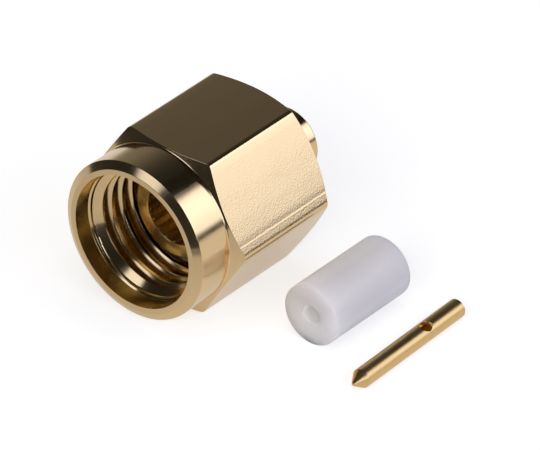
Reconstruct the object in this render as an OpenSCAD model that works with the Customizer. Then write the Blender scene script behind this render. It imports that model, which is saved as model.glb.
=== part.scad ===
// Coaxial plug with a captive coupling nut, for thin semi-rigid cable, as it is
// supplied: the plug assembly, and beside it the loose insulator and the loose
// centre contact. Lengths are in millimetres. The connector's axis is Y, the mouth
// of the nut faces -Y and the cable end faces +Y. The origin is on the axis, in the
// plane where the outer conductors of two connectors meet. The nut rests on a flat.

/* [Coupling nut] */
// Width of the hexagon across its flats
nut_af = 8; // [7.2:0.05:9]
// Radius of the hexagon's corners
corner_r = 0.35; // [0.1:0.05:0.6]
// Length of the hexagon
hex_len = 6.38; // [5.6:0.02:9]
// Length of the round collar in front of the hexagon
collar_len = 2.05; // [1.2:0.05:3]
// Diameter of the collar
collar_d = 7.78; // [7.5:0.02:7.9]
// Width of the chamfer on the collar's rim, across the face
rim_chamfer = 0.37; // [0.05:0.01:0.45]
// Angle of the turned chamfers against the end faces
chamfer_angle = 30; // [15:1:45]
// Diameter at which the hexagon's rear chamfer starts
rear_face_d = 7.95; // [7.2:0.05:8]
// Diameter of the plain bore behind the thread
nut_bore_d = 5.6; // [5.5:0.02:5.8]

/* [Coupling thread] */
// Outer diameter of the mating thread
thread_d = 6.35; // [6.3:0.01:6.4]
// Diameter across the crests of the nut's own thread
thread_crest_d = 5.66; // [5.6:0.01:5.74]
// Distance from one turn to the next
thread_pitch = 0.7056; // [0.6:0.0001:0.8]
// Number of turns
thread_turns = 4.5; // [3:0.5:5]
// Depth of the plain mouth in front of the thread
mouth_depth = 0.93; // [0.5:0.01:1.2]
// Room round the mating thread in the mouth and in the relief behind the thread
mouth_gap = 0.075; // [0.03:0.005:0.12]
// Length of the relief behind the thread
relief_len = 0.75; // [0.4:0.05:1]

/* [Plug body] */
// Depth of the mating face inside the nut's mouth
face_depth = 2.9; // [2.6:0.05:3.2]
// Diameter of the nose
nose_d = 4.58; // [4.5:0.01:4.59]
// Distance from the mating face to the flange
nose_len = 2.3; // [2:0.05:2.6]
// Chamfer on the nose's outer edge
nose_chamfer = 0.17; // [0.05:0.01:0.3]
// Room between the flange and the nut that spins on it
spin_gap = 0.08; // [0.03:0.01:0.1]
// Distance from the flange's rear face to the nut's rear face
flange_recess = 0.15; // [0:0.05:0.4]
// Diameter of the ferrule that the cable is soldered into
ferrule_d = 3.28; // [3:0.02:3.8]
// Length of the ferrule behind the nut
ferrule_len = 2.7; // [2:0.05:4]
// Chamfer on the ferrule's end
ferrule_chamfer = 0.16; // [0.05:0.01:0.25]

/* [Serrations] */
// Number of serrations that grip the insulator
serration_count = 20; // [12:1:28]
// Height of a serration above the bore
serration_h = 0.07; // [0.04:0.01:0.12]
// Width of a serration at its foot
serration_w = 0.2; // [0.1:0.01:0.22]
// Length of the serrations
serration_len = 2.4; // [1:0.1:4]
// Plain bore and lead-in before the serrations
lead_in = 0.16; // [0.1:0.01:0.3]

/* [Cable] */
// Diameter of the cable's outer conductor
cable_d = 2.2; // [2.1:0.01:2.3]
// Room round the cable for the solder
cable_gap = 0.03; // [0.01:0.01:0.06]
// Diameter of the cable's insulation, which passes the stop
cable_core_d = 1.68; // [1.5:0.02:1.8]
// Length of the stop between the cable and the insulator
stop_len = 0.25; // [0.15:0.05:0.5]
// Diameter of the cable's centre wire
wire_d = 0.51; // [0.45:0.01:0.55]
// Room round the centre wire for the solder
wire_gap = 0.02; // [0.01:0.005:0.04]

/* [Retaining ring] */
// Width of the ring, from its inner to its outer edge
ring_w = 0.75; // [0.5:0.05:0.8]
// Thickness of the ring along the axis
ring_t = 0.4; // [0.25:0.05:0.6]
// How far the ring reaches past the flange into the nut
ring_reach = 0.38; // [0.25:0.01:0.45]
// Width of the opening that lets the ring spring
ring_opening = 1.3; // [0.6:0.1:2]
// Room along the axis on each side of the ring
ring_gap = 0.03; // [0.02:0.01:0.06]
// Distance from the flange's front face to the ring's groove
ring_setback = 1.2; // [0.8:0.05:1.6]

/* [Gasket] */
// Thickness of the gasket in front of the flange
gasket_t = 0.65; // [0.3:0.05:0.8]
// Width of the gasket, from its inner to its outer edge
gasket_w = 0.65; // [0.5:0.01:0.7]
// Room between the gasket and the neck behind the nose, and the bores round it
gasket_gap = 0.04; // [0.02:0.01:0.1]

/* [Insulator] */
// Diameter of the insulator
insulator_d = 3; // [2.8:0.02:3.2]
// Length of the insulator
insulator_len = 5.2; // [4.4:0.05:5.4]
// Room between the insulator and its seat
seat_gap = 0.02; // [0.01:0.005:0.04]
// Room between the contact and the insulator's bore
contact_gap = 0.01; // [0.005:0.005:0.03]

/* [Centre contact] */
// Diameter of the contact
contact_d = 0.92; // [0.9:0.01:0.94]
// Length of the contact
contact_len = 7.64; // [6.5:0.02:8.5]
// Length of its conical tip
tip_len = 0.6; // [0.3:0.02:0.8]
// Diameter of the blunt end of the tip
tip_d = 0.14; // [0.05:0.01:0.3]
// Distance from the contact's rear end to the inspection hole
inspection_back = 2.49; // [1.5:0.01:3]
// Diameter of the inspection hole
inspection_d = 0.52; // [0.3:0.01:0.55]
// How far the inspection hole leans to the side
inspection_lean = 15; // [-90:1:90]

/* [Loose pieces] */
// Space between the nut's corner and the insulator
insulator_apart = 1.06; // [0.5:0.02:4]
// How far the insulator's front end lies behind the mating face
insulator_behind = 0.93; // [-3:0.01:3]
// Space between the insulator and the contact
contact_apart = 1.79; // [0.5:0.01:4]
// How far the contact's tip lies in front of the mating face
contact_ahead = 0.7; // [-2:0.01:3]
// Turn of the contact on the surface
contact_turn = 1.5; // [-10:0.5:10]

/* [Hidden] */
$fn = 96;
gold = "#d9b36c";
edge = 0.05; // broken edges
over = 0.5;  // how far a cut runs past the face it cuts

// along Y, from the mating face
mouth_y = -face_depth;
nut_len = collar_len + hex_len;
nut_rear_y = mouth_y + nut_len;
flange_y = nose_len;
neck_y = flange_y - gasket_t - gasket_gap;
flange_rear_y = nut_rear_y - flange_recess;
ferrule_rear_y = nut_rear_y + ferrule_len;
groove_y = flange_y + ring_setback;
groove_len = ring_t + 2 * ring_gap;
floor_z = -nut_af / 2;

// across, as radii
hex_tip_r = nut_af / sqrt(3);
rounded_tip_r = hex_tip_r - corner_r * (2 / sqrt(3) - 1);
collar_r = collar_d / 2;
nut_bore_r = nut_bore_d / 2;
mouth_r = thread_d / 2 + mouth_gap;
crest_r = thread_crest_d / 2;
flange_r = nut_bore_r - spin_gap;
nose_r = nose_d / 2;
gasket_outer_r = min(crest_r, nut_bore_r) - gasket_gap;
gasket_inner_r = gasket_outer_r - gasket_w;
neck_r = gasket_inner_r - gasket_gap;
ferrule_r = ferrule_d / 2;
seat_r = insulator_d / 2 + seat_gap;
cable_r = cable_d / 2 + cable_gap;
ring_outer_r = flange_r + ring_reach;
ring_inner_r = ring_outer_r - ring_w;
nut_groove_r = ring_outer_r + ring_gap;
body_groove_r = flange_r - ring_w - ring_gap; // the ring can close into it
solder_r = wire_d / 2 + wire_gap;

// lays a form that is made along Z along Y instead
module lengthwise() rotate([-90, 0, 0]) children();

// a solid turned round the axis from points [radius, distance along the axis]
module turned(profile) lengthwise() rotate_extrude() polygon(profile);

// a hexagon whose corners are round, with flats above and below
module round_hexagon(af, r) {
    core_r = (af - 2 * r) / sqrt(3);
    circle(core_r, $fn = 6);
    for (turn = [0:60:120])
        rotate(turn) square([core_r, af], center = true);
    for (turn = [0:60:300])
        rotate(turn) translate([core_r, 0]) circle(r);
}

// the nut's outside: a chamfered hexagon behind a round collar
module nut_outside() {
    slope = tan(chamfer_angle);
    outer_r = hex_tip_r + 1;
    intersection() {
        translate([0, mouth_y + collar_len, 0])
            lengthwise() linear_extrude(hex_len) round_hexagon(nut_af, corner_r);
        turned([
            [0, mouth_y + collar_len],
            [collar_r, mouth_y + collar_len],
            [outer_r, mouth_y + collar_len + (outer_r - collar_r) * slope],
            [outer_r, nut_rear_y - (outer_r - rear_face_d / 2) * slope],
            [rear_face_d / 2, nut_rear_y],
            [0, nut_rear_y]
        ]);
    }
    turned([
        [0, mouth_y],
        [collar_r - rim_chamfer, mouth_y],
        [collar_r, mouth_y + rim_chamfer * slope],
        [collar_r, mouth_y + collar_len + edge],
        [0, mouth_y + collar_len + edge]
    ]);
}

// what is bored out of the nut: mouth, thread crests, relief, rear bore and ring groove
module nut_bores() {
    thread_y = mouth_y + mouth_depth + (mouth_r - crest_r);
    relief_y = thread_y + thread_turns * thread_pitch;
    bore_y = relief_y + relief_len;
    turned([
        [0, mouth_y - over],
        [mouth_r + edge + over, mouth_y - over],
        [mouth_r, mouth_y + edge],
        [mouth_r, mouth_y + mouth_depth],
        [crest_r, thread_y],
        [crest_r, relief_y],
        [mouth_r, relief_y + edge],
        [mouth_r, bore_y - edge],
        [nut_bore_r, bore_y],
        [nut_bore_r, groove_y],
        [nut_groove_r, groove_y],
        [nut_groove_r, groove_y + groove_len],
        [nut_bore_r, groove_y + groove_len],
        [nut_bore_r, nut_rear_y - edge],
        [nut_bore_r + edge + over, nut_rear_y + over],
        [0, nut_rear_y + over]
    ]);
}

module coupling_nut() {
    color(gold) difference() {
        nut_outside();
        nut_bores();
    }
}

// one ridge along the insulator's seat, its foot sunk in the wall
module serration() {
    root = edge / 2;
    rotate([-90, 0, 0]) linear_extrude(serration_len)
        polygon([
            [-serration_w / 2, seat_r + root],
            [0, seat_r - serration_h],
            [serration_w / 2, seat_r + root]
        ]);
}

// the outer conductor: nose, neck, flange with the ring's groove, and solder ferrule
module plug_body() {
    seat_end = insulator_len;
    color(gold) {
        turned([
            [seat_r + edge, 0],
            [nose_r - nose_chamfer, 0],
            [nose_r, nose_chamfer],
            [nose_r, neck_y],
            [neck_r, neck_y],
            [neck_r, flange_y],
            [flange_r - edge, flange_y],
            [flange_r, flange_y + edge],
            [flange_r, groove_y],
            [body_groove_r, groove_y],
            [body_groove_r, groove_y + groove_len],
            [flange_r, groove_y + groove_len],
            [flange_r, flange_rear_y - edge],
            [flange_r - edge, flange_rear_y],
            [ferrule_r, flange_rear_y],
            [ferrule_r, ferrule_rear_y - ferrule_chamfer],
            [ferrule_r - ferrule_chamfer, ferrule_rear_y],
            [cable_r + edge, ferrule_rear_y],
            [cable_r, ferrule_rear_y - edge],
            [cable_r, seat_end + stop_len],
            [cable_core_d / 2, seat_end + stop_len],
            [cable_core_d / 2, seat_end],
            [seat_r, seat_end],
            [seat_r, edge]
        ]);
        intersection() {
            for (i = [0:serration_count - 1])
                rotate([0, i * 360 / serration_count, 0])
                    translate([0, lead_in - serration_h, 0]) serration();
            turned([
                [seat_r + edge, lead_in - serration_h],
                [seat_r + edge, lead_in + serration_len],
                [seat_r - serration_h - edge, lead_in + serration_len],
                [seat_r - serration_h - edge, lead_in + edge],
                [seat_r, lead_in - serration_h]
            ]);
        }
    }
}

// an open spring ring that sits half in the body and half in the nut
module retaining_ring() {
    color("#b98a4a") difference() {
        turned([
            [ring_inner_r, groove_y + ring_gap],
            [ring_outer_r, groove_y + ring_gap],
            [ring_outer_r, groove_y + ring_gap + ring_t],
            [ring_inner_r, groove_y + ring_gap + ring_t]
        ]);
        translate([-ring_opening / 2, groove_y, -ring_outer_r - over])
            cube([ring_opening, groove_len, ring_w + 2 * over]);
    }
}

// a flat seal round the neck, against the flange
module sealing_gasket() {
    color("#a3432c") turned([
        [gasket_inner_r, flange_y - gasket_t],
        [gasket_outer_r, flange_y - gasket_t],
        [gasket_outer_r, flange_y],
        [gasket_inner_r, flange_y]
    ]);
}

insulator_x = hex_tip_r + insulator_apart + insulator_d / 2;

module insulator() {
    bore_r = contact_d / 2 + contact_gap;
    color("#e9e6ea") translate([insulator_x, insulator_behind, floor_z + insulator_d / 2])
        turned([
            [bore_r + edge, 0],
            [insulator_d / 2 - edge, 0],
            [insulator_d / 2, edge],
            [insulator_d / 2, insulator_len - edge],
            [insulator_d / 2 - edge, insulator_len],
            [bore_r + edge, insulator_len],
            [bore_r, insulator_len - edge],
            [bore_r, edge]
        ]);
}

contact_x = insulator_x + insulator_d / 2 + contact_apart + contact_d / 2;

module contact_pin() {
    solder_depth = inspection_back + inspection_d / 2;
    color(gold) translate([contact_x, -contact_ahead, floor_z + contact_d / 2])
        rotate([0, 0, contact_turn])
            difference() {
                turned([
                    [0, 0],
                    [tip_d / 2, 0],
                    [contact_d / 2, tip_len],
                    [contact_d / 2, contact_len - edge / 2],
                    [contact_d / 2 - edge / 2, contact_len],
                    [solder_r, contact_len],
                    [solder_r, contact_len - solder_depth],
                    [0, contact_len - solder_depth]
                ]);
                translate([0, contact_len - inspection_back, 0])
                    rotate([0, inspection_lean, 0]) cylinder(h = contact_d, d = inspection_d);
            }
}

coupling_nut();
plug_body();
retaining_ring();
sealing_gasket();
insulator();
contact_pin();
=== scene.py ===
# A coaxial plug with a captive coupling nut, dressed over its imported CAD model, with the loose
# insulator and the loose centre contact beside it. The connector's axis is Y, and its mouth
# faces -Y.
import math

import bpy
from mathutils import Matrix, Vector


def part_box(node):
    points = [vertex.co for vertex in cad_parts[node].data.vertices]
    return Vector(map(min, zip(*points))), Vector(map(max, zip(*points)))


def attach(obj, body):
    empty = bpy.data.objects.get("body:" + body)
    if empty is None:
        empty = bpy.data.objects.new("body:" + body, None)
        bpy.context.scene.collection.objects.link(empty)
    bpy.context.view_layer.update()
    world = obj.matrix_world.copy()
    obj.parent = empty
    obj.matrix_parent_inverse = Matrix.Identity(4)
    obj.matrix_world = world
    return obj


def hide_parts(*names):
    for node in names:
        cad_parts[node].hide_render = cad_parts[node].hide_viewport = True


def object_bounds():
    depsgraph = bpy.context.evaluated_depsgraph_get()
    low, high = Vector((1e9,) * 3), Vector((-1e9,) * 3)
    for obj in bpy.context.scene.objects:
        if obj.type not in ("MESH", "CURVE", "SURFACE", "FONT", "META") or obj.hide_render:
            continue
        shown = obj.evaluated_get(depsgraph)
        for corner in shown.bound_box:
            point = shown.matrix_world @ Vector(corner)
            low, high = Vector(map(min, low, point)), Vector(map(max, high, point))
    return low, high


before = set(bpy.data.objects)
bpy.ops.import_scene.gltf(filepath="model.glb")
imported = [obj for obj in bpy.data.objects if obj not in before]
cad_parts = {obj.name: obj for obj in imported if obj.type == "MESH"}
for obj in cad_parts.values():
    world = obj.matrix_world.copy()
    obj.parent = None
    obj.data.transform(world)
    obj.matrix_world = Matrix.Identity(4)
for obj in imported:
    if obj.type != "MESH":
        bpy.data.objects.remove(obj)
cad_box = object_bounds()

# ---- coupling nut -----------------------------------------------------------------------------
# The nut is turned and milled from brass bar and plated with thin hard gold. A chamfered
# hexagon stands behind a round collar, and a quarter-inch fine thread is cut inside the mouth.
MM = 0.001


def turn_on_lathe(name, outline, columns):
    """Spins a closed outline of (radius, distance along the axis) corners."""
    bpy.ops.object.select_all(action="DESELECT")
    bpy.ops.mesh.primitive_circle_add(vertices=len(outline), radius=1)
    piece = bpy.context.object
    piece.name = piece.data.name = name
    for corner, (radius, along) in zip(piece.data.vertices, outline):
        corner.co = (radius, along, 0)
    bpy.ops.object.mode_set(mode="EDIT")
    bpy.ops.mesh.select_all(action="SELECT")
    bpy.ops.mesh.spin(steps=columns, angle=2 * math.pi, center=(0, 0, 0), axis=(0, 1, 0))
    close_seams()
    bpy.ops.object.mode_set(mode="OBJECT")
    return piece


def close_seams():
    """Merges doubled corners and turns the faces outwards, in edit mode."""
    bpy.ops.mesh.select_all(action="SELECT")
    bpy.ops.mesh.remove_doubles(threshold=1e-5)
    bpy.ops.mesh.dissolve_degenerate(threshold=1e-6)
    bpy.ops.mesh.select_all(action="SELECT")
    bpy.ops.mesh.normals_make_consistent(inside=False)


def pick_up(piece):
    """Selects one piece and nothing else."""
    bpy.ops.object.select_all(action="DESELECT")
    piece.select_set(True)
    bpy.context.view_layer.objects.active = piece


def apply_modifier(piece, kind, **settings):
    """Adds one modifier to a piece, sets it and applies it."""
    pick_up(piece)
    modifier = piece.modifiers.new(kind.lower(), kind)
    for setting, value in settings.items():
        setattr(modifier, setting, value)
    bpy.ops.object.modifier_apply(modifier=modifier.name)


def break_edges(piece, width, segments=2, sharper_than=22):
    """Rounds a piece's sharp edges a little, as tumbling before plating does."""
    apply_modifier(
        piece,
        "BEVEL",
        width=width,
        segments=segments,
        limit_method="ANGLE",
        angle_limit=math.radians(sharper_than),
        use_clamp_overlap=True,
    )


def cut_away(piece, cutter):
    """Cuts one solid out of another and removes the cutter."""
    apply_modifier(piece, "BOOLEAN", operation="DIFFERENCE", object=cutter, solver="MANIFOLD")
    bpy.data.objects.remove(cutter)


def smooth_faces(piece, sharper_than=32):
    """Shades a piece smooth between its sharp edges, with its large faces kept true."""
    pick_up(piece)
    bpy.ops.object.shade_smooth_by_angle(angle=math.radians(sharper_than))
    apply_modifier(piece, "WEIGHTED_NORMAL", weight=90, thresh=0.0001, keep_sharp=True)


def set_in_metres(piece, place=(0, 0, 0), turn=0.0):
    """Moves a finished piece from its place in millimetres to the frame, which is in metres."""
    pick_up(piece)
    piece.location = [length * MM for length in place]
    piece.rotation_euler = (0, 0, turn)
    piece.scale = (MM, MM, MM)
    bpy.ops.object.transform_apply(location=True, rotation=True, scale=True)


nut_low, nut_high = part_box("coupling_nut")
mouth_y = nut_low.y / MM
nut_rear_y = nut_high.y / MM
half_flats = nut_high.z / MM
corner_r = 0.35
collar_r = 3.89
collar_len = 2.05
rim_chamfer = 0.37
rear_face_r = 3.975
slope = math.tan(math.radians(30))
shoulder = math.radians(26)
fillet_r = 0.10
mouth_r = 3.25
crest_r = 2.83
thread_y = -1.55
relief_y = 1.625
relief_len = 0.75
relief_corner = 0.05
nut_bore_r = 2.80
nut_groove_r = 3.13
groove_y = 3.50
groove_len = 0.46
columns = 240
hexagon_y = mouth_y + collar_len
tip_r = half_flats / math.cos(math.radians(30))
fillet_y = hexagon_y - fillet_r * math.tan((math.pi / 2 - shoulder) / 2)
fillet_steps = 5
fillet = []
for step in range(fillet_steps + 1):
    turned = (math.pi / 2 - shoulder) * step / fillet_steps
    fillet.append(
        (
            collar_r + fillet_r * (1 - math.cos(turned)),
            fillet_y + fillet_r * math.sin(turned),
        )
    )

# The lead-in from the mouth to the thread: each pair is how far it stands inside the mouth's
# bore, and how far in front of the thread.
lead_in = ((0.14, 0.28), (0.10, 0.34), (0.085, 0.39), (0.085, 0.435), (0.0, 0.52))
nut = turn_on_lathe(
    "nut_gold_plated",
    [
        (mouth_r, mouth_y),
        (collar_r - rim_chamfer, mouth_y),
        (collar_r, mouth_y + rim_chamfer * slope),
        *fillet,
        (tip_r, hexagon_y + (tip_r - collar_r) * math.tan(shoulder)),
        (tip_r, nut_rear_y - (tip_r - rear_face_r) * slope),
        (rear_face_r, nut_rear_y),
        (nut_bore_r, nut_rear_y),
        (nut_bore_r, groove_y + groove_len),
        (nut_groove_r, groove_y + groove_len),
        (nut_groove_r, groove_y),
        (nut_bore_r, groove_y),
        (nut_bore_r, relief_y + relief_len),
        (mouth_r, relief_y + relief_len - relief_corner),
        (mouth_r, relief_y + relief_corner),
        (crest_r, relief_y),
        (crest_r, thread_y),
        *[(mouth_r - inward, thread_y - ahead) for inward, ahead in lead_in],
    ],
    columns,
)

# Forty columns stand on each side of the hexagon, eight of them on its rounded corner. The
# columns that were turned to the corners' radius are pressed in to the flats, which tumbling has
# left crowned by a few hundredths of a millimetre. The die drew a line along one corner: each
# pair is a distance from the flat's middle and the depth there, from the corner inwards.
die_line = (
    (2.11, 0.0037),
    (1.98, 0.0013),
    (1.84, 0.0005),
    (1.76, -0.0009),
    (1.70, 0.0029),
    (1.64, 0.0046),
    (1.56, 0.0030),
    (1.46, 0.0012),
    (1.32, 0.0),
    (1.05, 0.0),
)
crown = 0.008
true_half = 0.4
corner_sunk = crown * 3.3
drawn_sunk = 0.002
corner_columns = 4
column_turn = 360 / columns
corner_turn = corner_columns * column_turn
core_r = (half_flats - corner_r) / math.cos(math.radians(30))
corner_end = 30 - math.degrees(math.atan2(core_r / 2, half_flats))
middle_y = (hexagon_y + nut_rear_y) / 2
for corner in nut.data.vertices:
    radius = math.hypot(corner.co.x, corner.co.z)
    turned_by = math.degrees(math.atan2(corner.co.z, corner.co.x)) % 360
    side, within = divmod(turned_by + 0.0001, 60)
    half = within if within < 30 else 60 - within
    column = round(half / column_turn) - corner_columns
    drawn = side == 0 and within < 30 and column < len(die_line)
    if half <= corner_turn:
        from_tip = half / corner_turn * corner_end
    elif drawn:
        from_tip = 30 - math.degrees(math.atan(die_line[column][0] / half_flats))
    else:
        share = (half - corner_turn) / (30 - corner_turn)
        from_tip = corner_end + share * (30 - corner_end)
    if within >= 30:
        angle = side * 60 + 60 - from_tip
    else:
        angle = side * 60 + from_tip
    if radius > (collar_r + tip_r) / 2:
        beside = math.radians(from_tip)
        if from_tip >= corner_end:
            across = half_flats * math.tan(math.radians(30 - from_tip))
            fallen = crown * max(0, across - true_half) ** 2
            if drawn:
                fallen += die_line[column][1]
            pressed = math.hypot(half_flats - fallen, across)
        else:
            reach = core_r * math.sin(beside)
            sunk = corner_sunk + (half / corner_turn * drawn_sunk if drawn else 0)
            pressed = core_r * math.cos(beside) + math.sqrt(corner_r**2 - reach**2) - sunk
        if corner.co.y < middle_y:
            corner.co.y = hexagon_y + (pressed - collar_r) * math.tan(shoulder)
        else:
            corner.co.y = nut_rear_y - (pressed - rear_face_r) * slope
        radius = pressed
    corner.co.x = radius * math.cos(math.radians(angle))
    corner.co.z = radius * math.sin(math.radians(angle))
break_edges(nut, 0.03)

# The thread is cut by a tool of the groove's section that runs six right-handed turns, from
# the open mouth into the relief. Its flared foot breaks the edges of the crests.
pitch = 0.7056
thread_turns = 6
root_r = 3.175
tool_foot_r = 2.60
flare = 0.028
tool_start_y = -2.26
tool_start = math.radians(72.3)
root_half = pitch / 16
crest_half = root_half + (root_r - crest_r) * slope
tool_section = [
    (tool_foot_r, crest_half + flare),
    (crest_r, crest_half + flare),
    (crest_r + 0.012, crest_half + 0.006),
    (crest_r + 0.040, crest_half - 0.023),
    (root_r - 0.030, root_half + 0.018),
    (root_r, root_half - 0.014),
]
tool_section += [(radius, -half) for radius, half in reversed(tool_section)]
bpy.ops.object.select_all(action="DESELECT")
bpy.ops.mesh.primitive_circle_add(vertices=len(tool_section), radius=1)
thread_tool = bpy.context.object
for corner, (radius, along) in zip(thread_tool.data.vertices, tool_section):
    corner.co = (
        radius * math.sin(tool_start),
        tool_start_y + along,
        radius * math.cos(tool_start),
    )
apply_modifier(
    thread_tool,
    "SCREW",
    axis="Y",
    angle=2 * math.pi,
    screw_offset=pitch,
    iterations=thread_turns,
    steps=120,
    render_steps=120,
)
bpy.ops.object.mode_set(mode="EDIT")
bpy.ops.mesh.select_all(action="SELECT")
bpy.ops.mesh.remove_doubles(threshold=1e-5)
bpy.ops.mesh.select_all(action="DESELECT")
bpy.ops.mesh.select_non_manifold()
bpy.ops.mesh.fill_holes(sides=0)
bpy.ops.mesh.select_all(action="SELECT")
bpy.ops.mesh.normals_make_consistent(inside=False)
bpy.ops.object.mode_set(mode="OBJECT")
cut_away(nut, thread_tool)
smooth_faces(nut)


def node_row(tree, kinds):
    """Adds nodes to a tree from left to right and returns them by name."""
    made = {}
    for place, (name, kind) in enumerate(kinds.items()):
        made[name] = tree.nodes.new(kind)
        made[name].name = made[name].label = name
        made[name].location = (place * 180, 0)
    return made


def build_tool_marks():
    """A group that gives the marks which turning, drawing and plating leave on a metal skin."""
    group = bpy.data.node_groups.new("tool_marks", "ShaderNodeTree")
    face = group.interface
    face.new_socket("Position", in_out="INPUT", socket_type="NodeSocketVector")
    for name, start in (("Ring Scale", 16000.0), ("Grain Scale", 9000.0), ("Cloud Scale", 700.0)):
        socket = face.new_socket(name, in_out="INPUT", socket_type="NodeSocketFloat")
        socket.default_value = start
    for name in ("Rings", "Grain", "Cloud"):
        face.new_socket(name, in_out="OUTPUT", socket_type="NodeSocketFloat")
    nodes = node_row(
        group,
        {
            "given": "NodeGroupInput",
            "axes": "ShaderNodeSeparateXYZ",
            "flat": "ShaderNodeCombineXYZ",
            "radius": "ShaderNodeVectorMath",
            "lathe": "ShaderNodeCombineXYZ",
            "rings": "ShaderNodeTexNoise",
            "grain": "ShaderNodeTexVoronoi",
            "cloud": "ShaderNodeTexNoise",
            "out": "NodeGroupOutput",
        },
    )
    link = group.links.new
    link(nodes["given"].outputs["Position"], nodes["axes"].inputs[0])
    link(nodes["axes"].outputs["X"], nodes["flat"].inputs["X"])
    link(nodes["axes"].outputs["Z"], nodes["flat"].inputs["Z"])
    nodes["radius"].operation = "LENGTH"
    link(nodes["flat"].outputs[0], nodes["radius"].inputs[0])
    link(nodes["radius"].outputs["Value"], nodes["lathe"].inputs["X"])
    link(nodes["axes"].outputs["Y"], nodes["lathe"].inputs["Y"])
    for name in ("rings", "cloud"):
        nodes[name].inputs["Detail"].default_value = 3.0
        nodes[name].inputs["Roughness"].default_value = 0.55
    link(nodes["lathe"].outputs[0], nodes["rings"].inputs["Vector"])
    link(nodes["given"].outputs["Ring Scale"], nodes["rings"].inputs["Scale"])
    link(nodes["given"].outputs["Position"], nodes["grain"].inputs["Vector"])
    link(nodes["given"].outputs["Grain Scale"], nodes["grain"].inputs["Scale"])
    link(nodes["given"].outputs["Position"], nodes["cloud"].inputs["Vector"])
    link(nodes["given"].outputs["Cloud Scale"], nodes["cloud"].inputs["Scale"])
    link(nodes["rings"].outputs["Fac"], nodes["out"].inputs["Rings"])
    link(nodes["grain"].outputs["Distance"], nodes["out"].inputs["Grain"])
    link(nodes["cloud"].outputs["Fac"], nodes["out"].inputs["Cloud"])
    return group


tool_marks = build_tool_marks()


def gold_skin(name, tones, roughness, ring_height, grain_height, turn=(0, 0, 0), centre=(0, 0, 0)):
    """Gold plate on machined brass: two tones, a range of roughness, and heights in metres."""
    material = bpy.data.materials.new(name)
    material.use_nodes = True
    tree = material.node_tree
    shader = tree.nodes["Principled BSDF"]
    nodes = node_row(
        tree,
        {
            "coords": "ShaderNodeTexCoord",
            "place": "ShaderNodeMapping",
            "marks": "ShaderNodeGroup",
            "tone": "ShaderNodeMix",
            "dull": "ShaderNodeMapRange",
            "ring_bump": "ShaderNodeBump",
            "grain_bump": "ShaderNodeBump",
        },
    )
    link = tree.links.new
    nodes["place"].vector_type = "TEXTURE"
    nodes["place"].inputs["Location"].default_value = centre
    nodes["place"].inputs["Rotation"].default_value = turn
    link(nodes["coords"].outputs["Object"], nodes["place"].inputs["Vector"])
    nodes["marks"].node_tree = tool_marks
    link(nodes["place"].outputs["Vector"], nodes["marks"].inputs["Position"])
    nodes["tone"].data_type = "RGBA"
    nodes["tone"].inputs["A"].default_value = (*tones[0], 1)
    nodes["tone"].inputs["B"].default_value = (*tones[1], 1)
    link(nodes["marks"].outputs["Cloud"], nodes["tone"].inputs["Factor"])
    link(nodes["tone"].outputs["Result"], shader.inputs["Base Color"])
    nodes["dull"].inputs["From Min"].default_value = 0.3
    nodes["dull"].inputs["From Max"].default_value = 0.7
    nodes["dull"].inputs["To Min"].default_value = roughness[0]
    nodes["dull"].inputs["To Max"].default_value = roughness[1]
    link(nodes["marks"].outputs["Cloud"], nodes["dull"].inputs["Value"])
    link(nodes["dull"].outputs["Result"], shader.inputs["Roughness"])
    nodes["ring_bump"].inputs["Distance"].default_value = ring_height
    link(nodes["marks"].outputs["Rings"], nodes["ring_bump"].inputs["Height"])
    nodes["grain_bump"].inputs["Distance"].default_value = grain_height
    link(nodes["marks"].outputs["Grain"], nodes["grain_bump"].inputs["Height"])
    link(nodes["ring_bump"].outputs["Normal"], nodes["grain_bump"].inputs["Normal"])
    link(nodes["grain_bump"].outputs["Normal"], shader.inputs["Normal"])
    shader.inputs["Metallic"].default_value = 1.0
    return material


pale_gold = ((0.75, 0.538, 0.278), (0.81, 0.582, 0.308))
turned_gold = gold_skin(
    "turned_gold", pale_gold, roughness=(0.12, 0.17), ring_height=2.5e-7, grain_height=2e-7
)
drawn_gold = gold_skin(
    "drawn_gold", pale_gold, roughness=(0.12, 0.17), ring_height=0, grain_height=1.6e-6
)
drawn_gold.node_tree.nodes["marks"].inputs["Grain Scale"].default_value = 13000
# The bored and tapped faces are rougher, a real finish, and their gold is tinted olive: painted
# shade of the hollows.
bored_gold_painted_shade = gold_skin(
    "bored_gold_painted_shade",
    ((0.75, 0.57, 0.225), (0.81, 0.615, 0.25)),
    roughness=(0.22, 0.30),
    ring_height=3e-7,
    grain_height=2e-7,
)
nut.data.materials.clear()
for skin in (turned_gold, drawn_gold, bored_gold_painted_shade):
    nut.data.materials.append(skin)
# The mouth and the thread's grooves get the rough gold with its painted shade tint.
for face in nut.data.polygons:
    centre = face.center
    radius = math.hypot(centre.x, centre.z)
    on_flat = radius > half_flats - 0.05 and abs(face.normal.y) < 0.2 and centre.y > hexagon_y
    in_mouth = radius < mouth_r + 0.01 and mouth_y + 0.02 < centre.y < thread_y - 0.5
    in_groove = crest_r + 0.04 < radius < mouth_r and centre.y > thread_y
    if on_flat:
        face.material_index = 1
    elif in_mouth or (in_groove and face.normal.y > -0.5):
        face.material_index = 2
set_in_metres(nut)
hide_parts("coupling_nut")
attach(nut, "nut")

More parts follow.
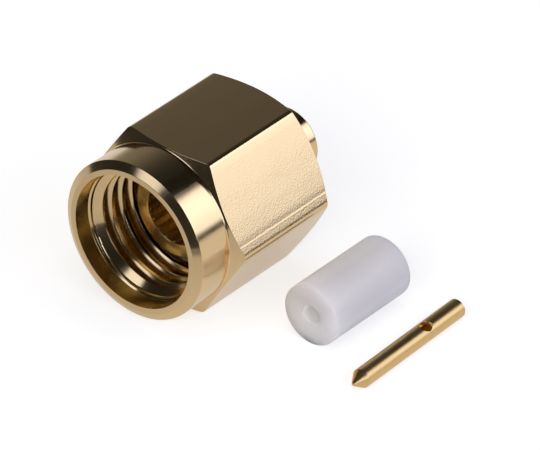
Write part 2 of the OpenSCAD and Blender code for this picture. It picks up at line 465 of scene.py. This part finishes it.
# ---- outer conductor --------------------------------------------------------------------------
# The plug's body is turned in one from brass, and gold plated: the nose that meets the other
# connector, the flange that the nut spins on, and the ferrule that the cable is soldered into.
face_y = 0.0
nose_r = 2.29
nose_chamfer = 0.17
neck_r = 2.07
neck_y = 1.61
flange_r = 2.72
flange_y = 2.30
flange_rear_y = 5.38
body_groove_r = 1.94
ferrule_r = 1.64
ferrule_chamfer = 0.16
ferrule_rear_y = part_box("plug_body")[1].y / MM
seat_r = 1.52
seat_end = 5.2
stop_r = 0.84
stop_len = 0.25
cable_r = 1.13
ridge_turn = 360 / 20
ridge_foot = 3.9
ridge_h = 0.07
ridge_y = 0.09
ridge_len = 2.40
body = turn_on_lathe(
    "outer_conductor_gold_plated",
    [
        (seat_r, face_y),
        (nose_r - nose_chamfer, face_y),
        (nose_r, face_y + nose_chamfer),
        (nose_r, neck_y),
        (neck_r, neck_y),
        (neck_r, flange_y),
        (flange_r, flange_y),
        (flange_r, groove_y),
        (body_groove_r, groove_y),
        (body_groove_r, groove_y + groove_len),
        (flange_r, groove_y + groove_len),
        (flange_r, flange_rear_y),
        (ferrule_r, flange_rear_y),
        (ferrule_r, ferrule_rear_y - ferrule_chamfer),
        (ferrule_r - ferrule_chamfer, ferrule_rear_y),
        (cable_r, ferrule_rear_y),
        (cable_r, seat_end + stop_len),
        (stop_r, seat_end + stop_len),
        (stop_r, seat_end),
        (seat_r, seat_end),
        (seat_r, ridge_y + ridge_len + 0.02),
        (seat_r, ridge_y + ridge_len),
        (seat_r, ridge_y + ridge_h),
        (seat_r, ridge_y),
    ],
    columns=360,
)
break_edges(body, 0.025)

# Twenty rounded ridges are pressed into the bore to grip the insulator. Their front ends
# slope back from the bore's mouth.
for corner in body.data.vertices:
    radius = math.hypot(corner.co.x, corner.co.z)
    along = corner.co.y
    full = ridge_y + ridge_h - 0.01 < along < ridge_y + ridge_len + 0.01
    if full and abs(radius - seat_r) < 0.01:
        beside = math.degrees(math.atan2(corner.co.x, -corner.co.z)) % ridge_turn
        beside = min(beside, ridge_turn - beside)
        rise = 0.5 + 0.5 * math.cos(math.pi * min(1, beside / ridge_foot))
        pressed = (radius - ridge_h * rise) / radius
        corner.co.x *= pressed
        corner.co.z *= pressed
smooth_faces(body, sharper_than=50)
set_in_metres(body)
body.data.materials.append(turned_gold)
body.data.materials.append(bored_gold_painted_shade)
# The nose and the bore get the rough gold with its painted shade tint.
for face in body.data.polygons:
    in_bore = math.hypot(face.center.x, face.center.z) < (seat_r + 0.01) * MM
    on_nose = face.center.y < (face_y + nose_chamfer + 0.01) * MM
    face.material_index = int(on_nose or (in_bore and face.center.y < flange_rear_y * MM))
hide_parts("plug_body")
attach(body, "plug")

# ---- retaining ring ---------------------------------------------------------------------------
# An open ring of spring bronze snaps into the two grooves and holds the nut on the body.
# It is hidden between them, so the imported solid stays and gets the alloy's own finish.
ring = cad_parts["retaining_ring"]
bronze = gold_skin(
    "spring_bronze",
    ((0.50, 0.27, 0.12), (0.62, 0.36, 0.17)),
    roughness=(0.28, 0.4),
    ring_height=0,
    grain_height=4e-7,
)
ring.data.materials.clear()
ring.data.materials.append(bronze)

# ---- gasket -----------------------------------------------------------------------------------
# A flat silicone ring lies round the neck, against the flange, and keeps water out of the
# thread when the connector is mated. It is moulded, so its edges are soft.
gasket_low, gasket_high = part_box("sealing_gasket")
gasket_out = gasket_high.x / MM
gasket_w = 0.65
gasket = turn_on_lathe(
    "gasket_silicone",
    [
        (gasket_out - gasket_w, gasket_low.y / MM),
        (gasket_out, gasket_low.y / MM),
        (gasket_out, gasket_high.y / MM),
        (gasket_out - gasket_w, gasket_high.y / MM),
    ],
    columns=96,
)
break_edges(gasket, 0.12, segments=4)
smooth_faces(gasket, sharper_than=60)
set_in_metres(gasket)
silicone = bpy.data.materials.new("red_silicone")
silicone.use_nodes = True
tree = silicone.node_tree
link = tree.links.new
shader = tree.nodes["Principled BSDF"]
nodes = node_row(
    tree,
    {
        "coords": "ShaderNodeTexCoord",
        "marks": "ShaderNodeGroup",
        "tone": "ShaderNodeMix",
        "bump": "ShaderNodeBump",
    },
)
nodes["marks"].node_tree = tool_marks
nodes["tone"].data_type = "RGBA"
nodes["tone"].inputs["A"].default_value = (0.23, 0.045, 0.025, 1)
nodes["tone"].inputs["B"].default_value = (0.30, 0.07, 0.04, 1)
nodes["bump"].inputs["Distance"].default_value = 1.5e-6
link(nodes["coords"].outputs["Object"], nodes["marks"].inputs["Position"])
link(nodes["marks"].outputs["Cloud"], nodes["tone"].inputs["Factor"])
link(nodes["marks"].outputs["Grain"], nodes["bump"].inputs["Height"])
link(nodes["tone"].outputs["Result"], shader.inputs["Base Color"])
link(nodes["bump"].outputs["Normal"], shader.inputs["Normal"])
shader.inputs["Roughness"].default_value = 0.55
gasket.data.materials.append(silicone)
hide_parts("sealing_gasket")
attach(gasket, "plug")

# ---- insulator --------------------------------------------------------------------------------
# A short rod of white fluoropolymer with a bore for the contact, parted off on a lathe. It is
# pressed into the body on assembly and lies beside the plug until then. Its bore is given a much
# paler colour, painted light that keeps it hardly darker than its end, and the rod's colour is
# painted paler at its edges as seen and towards its foot: a painted rim glow and painted light from
# the board.
bead_low, bead_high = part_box("insulator")
bead_r = (bead_high.z - bead_low.z) / 2 / MM
bead_centre = (bead_low + bead_high) / 2
bead_bore_r = 0.47
painted_foot_light_height = 0.0022
bead = turn_on_lathe(
    "insulator_rod",
    [
        (bead_bore_r, bead_low.y / MM),
        (bead_r, bead_low.y / MM),
        (bead_r, bead_high.y / MM),
        (bead_bore_r, bead_high.y / MM),
    ],
    columns=128,
)
break_edges(bead, 0.07, segments=4)
smooth_faces(bead, sharper_than=60)
for face in bead.data.polygons:
    face.material_index = int(math.hypot(face.center.x, face.center.z) < bead_bore_r + 0.01)
set_in_metres(bead, (bead_centre.x / MM, 0, bead_centre.z / MM))
# The second set of tones is painted light: it makes the shaded bore nearly as pale as the end.
for name, tones in (
    ("white_fluoropolymer", ((0.555, 0.52, 0.515), (0.60, 0.565, 0.56))),
    ("white_fluoropolymer_bore_painted_light", ((0.93, 0.89, 0.89), (0.97, 0.93, 0.93))),
):
    fluoropolymer = bpy.data.materials.new(name)
    fluoropolymer.use_nodes = True
    tree = fluoropolymer.node_tree
    link = tree.links.new
    shader = tree.nodes["Principled BSDF"]
    nodes = node_row(
        tree,
        {
            "coords": "ShaderNodeTexCoord",
            "place": "ShaderNodeMapping",
            "marks": "ShaderNodeGroup",
            "tone": "ShaderNodeMix",
            "facing": "ShaderNodeLayerWeight",
            "edge": "ShaderNodeMapRange",
            "axes": "ShaderNodeSeparateXYZ",
            "foot": "ShaderNodeMapRange",
            "painted_glow_amount": "ShaderNodeMath",
            "painted_glow": "ShaderNodeMix",
            "bump": "ShaderNodeBump",
        },
    )
    nodes["place"].vector_type = "TEXTURE"
    nodes["place"].inputs["Location"].default_value = (bead_centre.x, 0, bead_centre.z)
    # The edge and foot nodes paint the rod paler where it is seen edge-on and near the board:
    # painted rim glow and painted bounce light.
    nodes["edge"].inputs["From Min"].default_value = 0.36
    nodes["edge"].inputs["From Max"].default_value = 0.85
    nodes["foot"].inputs["From Min"].default_value = bead_low.z
    nodes["foot"].inputs["From Max"].default_value = bead_low.z + painted_foot_light_height
    nodes["foot"].inputs["To Min"].default_value = 0.6
    nodes["foot"].inputs["To Max"].default_value = 0.0
    nodes["painted_glow_amount"].operation = "MAXIMUM"
    nodes["painted_glow"].data_type = "RGBA"
    nodes["painted_glow"].inputs["B"].default_value = (0.96, 0.92, 0.925, 1)
    nodes["marks"].node_tree = tool_marks
    nodes["marks"].inputs["Ring Scale"].default_value = 6000
    nodes["tone"].data_type = "RGBA"
    nodes["tone"].inputs["A"].default_value = (*tones[0], 1)
    nodes["tone"].inputs["B"].default_value = (*tones[1], 1)
    nodes["bump"].inputs["Distance"].default_value = 1e-6
    link(nodes["coords"].outputs["Object"], nodes["place"].inputs["Vector"])
    link(nodes["place"].outputs["Vector"], nodes["marks"].inputs["Position"])
    link(nodes["marks"].outputs["Cloud"], nodes["tone"].inputs["Factor"])
    link(nodes["marks"].outputs["Rings"], nodes["bump"].inputs["Height"])
    link(nodes["facing"].outputs["Facing"], nodes["edge"].inputs["Value"])
    link(nodes["coords"].outputs["Object"], nodes["axes"].inputs[0])
    link(nodes["axes"].outputs["Z"], nodes["foot"].inputs["Value"])
    link(nodes["edge"].outputs["Result"], nodes["painted_glow_amount"].inputs[0])
    link(nodes["foot"].outputs["Result"], nodes["painted_glow_amount"].inputs[1])
    link(nodes["painted_glow_amount"].outputs[0], nodes["painted_glow"].inputs["Factor"])
    link(nodes["tone"].outputs["Result"], nodes["painted_glow"].inputs["A"])
    link(nodes["painted_glow"].outputs["Result"], shader.inputs["Base Color"])
    link(nodes["bump"].outputs["Normal"], shader.inputs["Normal"])
    shader.inputs["Roughness"].default_value = 0.5
    shader.inputs["IOR"].default_value = 1.35
    shader.inputs["Subsurface Weight"].default_value = 1.0
    shader.inputs["Subsurface Radius"].default_value = (1.0, 0.95, 1.0)
    shader.inputs["Subsurface Scale"].default_value = 0.0035
    bead.data.materials.append(fluoropolymer)
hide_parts("insulator")
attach(bead, "plug")

# ---- centre contact ---------------------------------------------------------------------------
# The contact is turned from thin brass rod and gold plated. Its tip is conical, and its rear end
# is bored for the cable's wire. Solder goes in there, and shows in a cross hole with a broken rim.
pin_r = 0.46
pin_len = 7.64
blunt_r = 0.07
cone_len = 0.6
pin_turn = math.radians(1.5)
pin_tip = (10.9288, -0.70, -3.54)
solder_r = 0.275
solder_depth = 2.75
hole_back = 2.49
hole_lean = math.radians(15)
hole_r = 0.29
drill = {"radius1": hole_r, "radius2": hole_r, "depth": 0.6}
rim_cutter = {"radius1": hole_r, "radius2": hole_r + 0.06, "depth": 0.1}
pin = turn_on_lathe(
    "centre_contact_gold_plated",
    [
        (0, 0),
        (blunt_r, 0),
        (pin_r, cone_len),
        (pin_r, pin_len),
        (solder_r, pin_len),
        (solder_r, pin_len - solder_depth),
        (0, pin_len - solder_depth),
    ],
    columns=128,
)
break_edges(pin, 0.02)
for cutter, rise in ((drill, 0.46), (rim_cutter, 0.43)):
    bpy.ops.object.select_all(action="DESELECT")
    bpy.ops.mesh.primitive_cone_add(
        vertices=64,
        location=(
            rise * math.sin(hole_lean),
            pin_len - hole_back,
            rise * math.cos(hole_lean),
        ),
        rotation=(0, hole_lean, 0),
        **cutter,
    )
    cut_away(pin, bpy.context.object)
smooth_faces(pin, sharper_than=30)
pin.data.materials.clear()
for face in pin.data.polygons:
    inside = math.hypot(face.center.x, face.center.z) < pin_r - 0.03
    rearward = pin_len - solder_depth - 0.01 < face.center.y < pin_len - 0.03
    face.material_index = int(inside and rearward)
set_in_metres(pin, pin_tip, pin_turn)
# The gold inside the solder bore is painted far brighter than the outside gold: painted light in
# the hollow.
for name, tones, roughness in (
    ("contact_gold", ((0.70, 0.46, 0.185), (0.77, 0.52, 0.22)), (0.30, 0.36)),
    ("contact_bore_gold_painted_light", ((0.96, 0.63, 0.17), (0.99, 0.66, 0.20)), (0.42, 0.5)),
):
    pin_gold = gold_skin(
        name,
        tones,
        roughness,
        ring_height=3e-7,
        grain_height=2e-7,
        turn=(0, 0, pin_turn),
        centre=[length * MM for length in pin_tip],
    )
    pin.data.materials.append(pin_gold)
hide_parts("contact_pin")
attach(pin, "plug")

# ---- floor ------------------------------------------------------------------------------------
# A plain white board carries the pieces. It ends a little in front of them and runs on behind
# them. It is brighter than its light alone makes it, so that it stays white, and the metal shows
# it greyer towards its front edge.
board_width = 1.6
board_depth = 0.85
board_front = -0.017
bpy.ops.object.select_all(action="DESELECT")
bpy.ops.mesh.primitive_plane_add(size=1.0, location=(0, 0, cad_box[0].z))
floor = bpy.context.object
floor.name = "floor"
floor.scale = (board_width, board_depth, 1)
floor.location.y = board_depth / 2 + board_front
bpy.ops.object.transform_apply(location=True, rotation=True, scale=True)
board = bpy.data.materials.new("white_board")
board.use_nodes = True
tree = board.node_tree
link = tree.links.new
shader = tree.nodes["Principled BSDF"]
nodes = node_row(
    tree,
    {
        "coords": "ShaderNodeTexCoord",
        "axes": "ShaderNodeSeparateXYZ",
        "rearward": "ShaderNodeMapRange",
        "path": "ShaderNodeLightPath",
        "reflected": "ShaderNodeMath",
        "share": "ShaderNodeMath",
        "seen": "ShaderNodeMath",
        "lift": "ShaderNodeMath",
    },
)
nodes["rearward"].interpolation_type = "SMOOTHSTEP"
nodes["rearward"].inputs["From Min"].default_value = -0.010
nodes["rearward"].inputs["From Max"].default_value = 0.002
nodes["rearward"].inputs["To Min"].default_value = 0.27
nodes["rearward"].inputs["To Max"].default_value = 0.62
link(nodes["coords"].outputs["Object"], nodes["axes"].inputs[0])
link(nodes["axes"].outputs["Y"], nodes["rearward"].inputs["Value"])
link(nodes["path"].outputs["Is Glossy Ray"], nodes["reflected"].inputs[0])
link(nodes["path"].outputs["Is Transmission Ray"], nodes["reflected"].inputs[1])
link(nodes["reflected"].outputs[0], nodes["share"].inputs[0])
link(nodes["rearward"].outputs["Result"], nodes["share"].inputs[1])
link(nodes["share"].outputs[0], nodes["seen"].inputs[0])
link(nodes["path"].outputs["Is Camera Ray"], nodes["seen"].inputs[1])
link(nodes["seen"].outputs[0], nodes["lift"].inputs[0])
nodes["reflected"].operation = nodes["seen"].operation = "MAXIMUM"
nodes["share"].operation = nodes["lift"].operation = "MULTIPLY"
nodes["lift"].inputs[1].default_value = 0.63
link(nodes["lift"].outputs[0], shader.inputs["Emission Strength"])
shader.inputs["Base Color"].default_value = (0.50, 0.50, 0.50, 1)
shader.inputs["Roughness"].default_value = 0.9
shader.inputs["Specular IOR Level"].default_value = 0.0
shader.inputs["Emission Color"].default_value = (1, 1, 1, 1)
floor.data.materials.append(board)

# ---- studio -----------------------------------------------------------------------------------
# One wide lamp hangs overhead and one fills from the front. Two soft boxes stand round the
# table in a dark room, a long one on the right and a small one in front on the left, and the
# metal shows them.
bpy.ops.object.light_add(type="AREA", location=(0, 0.02, 0.6))
overhead = bpy.context.object
overhead.name = "overhead"
overhead.data.shape = "SQUARE"
overhead.data.size = 0.5
overhead.data.color = (1.0, 0.96, 0.90)
overhead.data.energy = 1.25
overhead.visible_glossy = False
bpy.ops.object.light_add(
    type="AREA", location=(0.18, -0.53, 0.26), rotation=(math.radians(65), 0, math.radians(18))
)
front_fill = bpy.context.object
front_fill.name = "front_fill"
front_fill.data.shape = "SQUARE"
front_fill.data.size = 0.4
front_fill.data.color = (1.0, 0.96, 0.90)
front_fill.data.energy = 2.6
front_fill.visible_glossy = False

room = bpy.data.worlds.new("studio")
bpy.context.scene.world = room
room.use_nodes = True
tree = room.node_tree
tree.nodes.clear()
link = tree.links.new


def room_math(operation, *values):
    """Adds one Math node to the room's tree and returns its result."""
    node = tree.nodes.new("ShaderNodeMath")
    node.operation = operation
    for place, value in enumerate(values):
        if isinstance(value, (int, float)):
            node.inputs[place].default_value = value
        else:
            link(value, node.inputs[place])
    return node.outputs[0]


def ramp(value, low, high, start=0.0, end=1.0):
    """A soft step from start to end while the value goes from low to high."""
    node = tree.nodes.new("ShaderNodeMapRange")
    node.interpolation_type = "SMOOTHSTEP"
    link(value, node.inputs["Value"])
    for name, number in (("From Min", low), ("From Max", high), ("To Min", start), ("To Max", end)):
        node.inputs[name].default_value = number
    return node.outputs["Result"]


direction = tree.nodes.new("ShaderNodeTexCoord")
axes = tree.nodes.new("ShaderNodeSeparateXYZ")
link(direction.outputs["Generated"], axes.inputs[0])
to_degrees = 180 / math.pi
forward = room_math("MULTIPLY", axes.outputs["Y"], -1.0)
azimuth = room_math("MULTIPLY", room_math("ARCTAN2", axes.outputs["X"], forward), to_degrees)
elevation = room_math("MULTIPLY", room_math("ARCSINE", axes.outputs["Z"]), to_degrees)


def soft_box(left, right, bottom, top, soft, strength, lean=0.0):
    """A glowing panel between two azimuths and two elevations. Its right side may lean."""
    upright = room_math("SUBTRACT", azimuth, room_math("MULTIPLY", elevation, lean))
    sides = room_math(
        "MULTIPLY",
        ramp(azimuth, left - soft, left + soft),
        ramp(upright, right - soft, right + soft, 1.0, 0.0),
    )
    ends = room_math(
        "MULTIPLY",
        ramp(elevation, bottom - soft, bottom + soft),
        ramp(elevation, top - soft, top + soft, 1.0, 0.0),
    )
    return room_math("MULTIPLY", room_math("MULTIPLY", sides, ends), strength)


long_box = soft_box(left=50, right=155, bottom=6.2, top=42, soft=2.5, strength=1.0)
long_box = room_math("MULTIPLY", long_box, ramp(elevation, 6, 30, start=1.45, end=1.8))
small_box = soft_box(left=-31, right=-16, bottom=15, top=52, soft=2.5, strength=1.35, lean=0.41)

# The walls give back a little light, most of it low down and on the far left.
low_wall = ramp(elevation, -4, 12, start=0.30, end=0)
high_wall = ramp(elevation, 12, 56, start=0.20, end=0)
left_side = ramp(azimuth, -100, -85, start=1.0, end=0.05)
wall = room_math("MULTIPLY", room_math("ADD", low_wall, high_wall), left_side)
walls = tree.nodes.new("ShaderNodeBackground")
link(room_math("ADD", wall, 0.012), walls.inputs["Strength"])
walls.inputs["Color"].default_value = (1, 1, 1, 1)
boxes = tree.nodes.new("ShaderNodeBackground")
link(room_math("ADD", long_box, small_box), boxes.inputs["Strength"])
boxes.inputs["Color"].default_value = (0.91, 0.99, 1.27, 1)
studio = tree.nodes.new("ShaderNodeAddShader")
link(walls.outputs[0], studio.inputs[0])
link(boxes.outputs[0], studio.inputs[1])
paper = tree.nodes.new("ShaderNodeBackground")
paper.inputs["Color"].default_value = (1, 1, 1, 1)
path = tree.nodes.new("ShaderNodeLightPath")
choice = tree.nodes.new("ShaderNodeMixShader")
output = tree.nodes.new("ShaderNodeOutputWorld")
link(path.outputs["Is Camera Ray"], choice.inputs["Fac"])
link(studio.outputs[0], choice.inputs[1])
link(paper.outputs[0], choice.inputs[2])
link(choice.outputs[0], output.inputs["Surface"])

# ---- camera -----------------------------------------------------------------------------------
# A long lens looks down on the mouth of the nut from in front and from the right, so that the
# two loose pieces lie in front of it on the right.
bpy.ops.object.camera_add(
    location=(0.16967679, -0.21231008, 0.18913427),
    rotation=tuple(math.radians(turn) for turn in (55.0855555, -2.31464524, 39.34875843)),
)
camera = bpy.context.object
camera.data.lens = 499.181
camera.data.sensor_width = 36
camera.data.clip_start = 0.01
bpy.context.scene.camera = camera
bpy.context.scene.view_settings.view_transform = "Standard"
